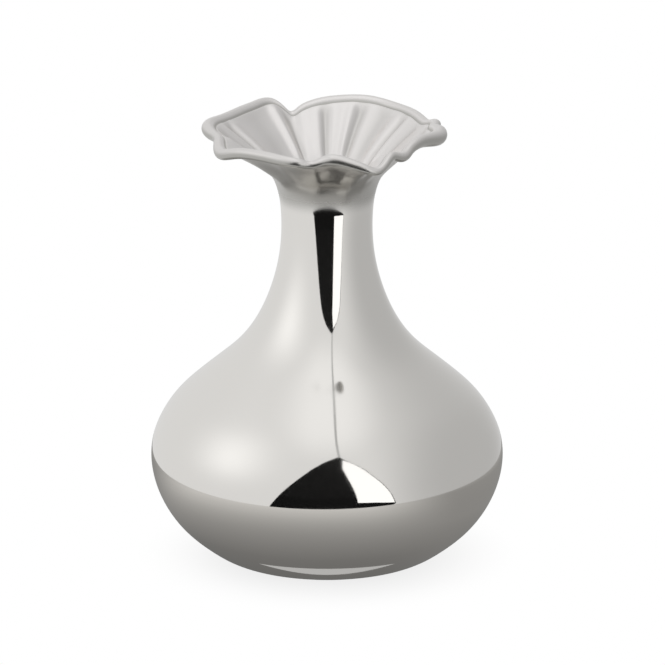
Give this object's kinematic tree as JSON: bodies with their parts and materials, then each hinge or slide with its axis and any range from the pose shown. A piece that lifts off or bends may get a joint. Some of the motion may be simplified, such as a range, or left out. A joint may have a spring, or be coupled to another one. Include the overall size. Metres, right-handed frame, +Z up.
{
  "type": "bottle vase",
  "caption": "Bulbous bottle vase of mirror-polished silver-plated metal, with a slim neck and a wide ruffled trumpet mouth.",
  "frame": {"origin": "on the table, at the centre of the foot", "axes": "+Z up the axis of the vase, front of the pictured side towards -Y, +X to the right of it"},
  "size_m": [0.1944, 0.1944, 0.2461],
  "materials": {
    "silver_plate": "mirror-polished silver plate, satin inside the mouth",
    "brass_wire": "drawn wire",
    "felt": "felt"
  },
  "bodies": {
    "root": {"lower_bowl": "silver_plate", "shoulder_shell": "silver_plate", "neck_tube": "silver_plate", "ruffled_mouth": "silver_plate", "rim_wire": "brass_wire", "foot_ring": "silver_plate", "felt_pad": "felt"}
  },
  "joints": []
}
